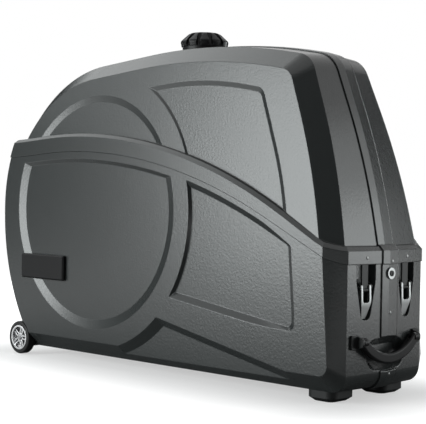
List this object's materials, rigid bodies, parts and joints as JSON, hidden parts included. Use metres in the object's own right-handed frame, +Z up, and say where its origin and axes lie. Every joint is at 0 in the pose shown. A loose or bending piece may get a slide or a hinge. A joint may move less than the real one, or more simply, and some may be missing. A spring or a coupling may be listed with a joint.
{
  "type": "bicycle travel case",
  "caption": "Hard two-part case for one bicycle with lift-off lid, draw latches, bow handle, transport wheels, cam lock and a hold-down knob on a mast.",
  "frame": {"origin": "on the floor under the middle of the case", "axes": "+X towards the handle end, +Y away from the side with the plate, +Z up"},
  "size_m": [1.3535, 0.3795, 0.9223],
  "materials": {
    "shell_grey": "grained",
    "black_plastic": "satin",
    "black_metal": "satin",
    "foot_rubber": "matt",
    "tyre_rubber": "matt",
    "chrome": "polished",
    "steel": "plated",
    "rail_metal": "anodised"
  },
  "bodies": {
    "case": {"lower_shell_near": "shell_grey", "lower_shell_far": "shell_grey", "foot_near": "foot_rubber", "foot_far": "foot_rubber", "wheel_bracket_near": "black_metal", "wheel_bracket_far": "black_metal", "wheel_axle_near": "steel", "wheel_axle_far": "steel", "latch_base_front_near": "steel", "latch_base_front_far": "steel", "latch_base_rear_near": "steel", "latch_base_rear_far": "steel", "latch_pins": "steel", "lock_body": "chrome", "lock_nut": "steel", "handle_bracket_near": "black_metal", "handle_bracket_far": "black_metal", "bike_rail": "rail_metal", "fork_mount": "rail_metal", "fork_skewer": "steel", "frame_cradle": "black_plastic", "mast": "rail_metal", "mast_insert": "rail_metal", "side_badge": "black_plastic"},
    "lid": {"lid_shell_near": "shell_grey", "lid_shell_far": "shell_grey", "latch_keeper_front_near": "steel", "latch_keeper_front_far": "steel", "latch_keeper_rear_near": "steel", "latch_keeper_rear_far": "steel", "knob_seat": "black_plastic"},
    "knob": {"top_knob": "black_plastic", "knob_stud": "steel"},
    "handle": {"pull_handle": "black_plastic"},
    "lock": {"lock_plug": "chrome", "lock_cam": "steel"},
    "skewer_cam": {"skewer_lever": "steel"},
    "wheel_near": {"wheel_tyre_near": "tyre_rubber", "wheel_hub_near": "chrome", "wheel_bearings_near": "steel"},
    "wheel_far": {"wheel_tyre_far": "tyre_rubber", "wheel_hub_far": "chrome", "wheel_bearings_far": "steel"},
    "latch_lever_body_front_near": {"latch_lever_front_near": "chrome"},
    "latch_strap_body_front_near": {"latch_strap_front_near": "black_metal"},
    "latch_lever_body_front_far": {"latch_lever_front_far": "chrome"},
    "latch_strap_body_front_far": {"latch_strap_front_far": "black_metal"},
    "latch_lever_body_rear_near": {"latch_lever_rear_near": "chrome"},
    "latch_strap_body_rear_near": {"latch_strap_rear_near": "black_metal"},
    "latch_lever_body_rear_far": {"latch_lever_rear_far": "chrome"},
    "latch_strap_body_rear_far": {"latch_strap_rear_far": "black_metal"}
  },
  "joints": [
    {"name": "lid_lift", "type": "slide", "parent": "case", "child": "lid", "axis": [0, 0, 1], "range_m": [0, 0.3]},
    {"name": "knob_turn", "type": "hinge", "parent": "lid", "child": "knob", "pos_m": [0.028, 0, 0.9], "axis": [0, 0, 1], "continuous": true},
    {"name": "handle_swing", "type": "hinge", "parent": "case", "child": "handle", "pos_m": [0.66748, 0, 0.146], "axis": [0, -1, 0], "range_deg": [0, 100]},
    {"name": "lock_turn", "type": "hinge", "parent": "case", "child": "lock", "pos_m": [0.66, 0.006, 0.304], "axis": [1, 0, 0], "range_deg": [0, 90]},
    {"name": "skewer_cam_turn", "type": "hinge", "parent": "case", "child": "skewer_cam", "pos_m": [0.338, -0.067, 0.129], "axis": [0, 0, -1], "range_deg": [0, 150]},
    {"name": "wheel_near_spin", "type": "hinge", "parent": "case", "child": "wheel_near", "pos_m": [-0.5515, -0.17, 0.048], "axis": [0, 1, 0], "continuous": true},
    {"name": "wheel_far_spin", "type": "hinge", "parent": "case", "child": "wheel_far", "pos_m": [-0.5515, 0.17, 0.048], "axis": [0, 1, 0], "continuous": true},
    {"name": "latch_lever_turn_front_near", "type": "hinge", "parent": "case", "child": "latch_lever_body_front_near", "pos_m": [0.65094, -0.079, 0.274], "axis": [0, -1, 0], "range_deg": [0, 140]},
    {"name": "latch_strap_turn_front_near", "type": "hinge", "parent": "latch_lever_body_front_near", "child": "latch_strap_body_front_near", "pos_m": [0.65094, -0.079, 0.267], "axis": [0, -1, 0], "range_deg": [-127.4, 0]},
    {"name": "latch_lever_turn_front_far", "type": "hinge", "parent": "case", "child": "latch_lever_body_front_far", "pos_m": [0.65094, 0.079, 0.274], "axis": [0, -1, 0], "range_deg": [0, 140]},
    {"name": "latch_strap_turn_front_far", "type": "hinge", "parent": "latch_lever_body_front_far", "child": "latch_strap_body_front_far", "pos_m": [0.65094, 0.079, 0.267], "axis": [0, -1, 0], "range_deg": [-127.4, 0]},
    {"name": "latch_lever_turn_rear_near", "type": "hinge", "parent": "case", "child": "latch_lever_body_rear_near", "pos_m": [-0.64629, -0.079, 0.53082], "axis": [0, 1, 0], "range_deg": [0, 140]},
    {"name": "latch_strap_turn_rear_near", "type": "hinge", "parent": "latch_lever_body_rear_near", "child": "latch_strap_body_rear_near", "pos_m": [-0.64775, -0.079, 0.52398], "axis": [0, 1, 0], "range_deg": [-127.4, 0]},
    {"name": "latch_lever_turn_rear_far", "type": "hinge", "parent": "case", "child": "latch_lever_body_rear_far", "pos_m": [-0.64629, 0.079, 0.53082], "axis": [0, 1, 0], "range_deg": [0, 140]},
    {"name": "latch_strap_turn_rear_far", "type": "hinge", "parent": "latch_lever_body_rear_far", "child": "latch_strap_body_rear_far", "pos_m": [-0.64775, 0.079, 0.52398], "axis": [0, 1, 0], "range_deg": [-127.4, 0]}
  ],
  "couplings": [
    {"joint": "latch_strap_turn_front_near", "follows": "latch_lever_turn_front_near", "ratio": -0.91},
    {"joint": "latch_strap_turn_front_far", "follows": "latch_lever_turn_front_far", "ratio": -0.91},
    {"joint": "latch_strap_turn_rear_near", "follows": "latch_lever_turn_rear_near", "ratio": -0.91},
    {"joint": "latch_strap_turn_rear_far", "follows": "latch_lever_turn_rear_far", "ratio": -0.91}
  ]
}
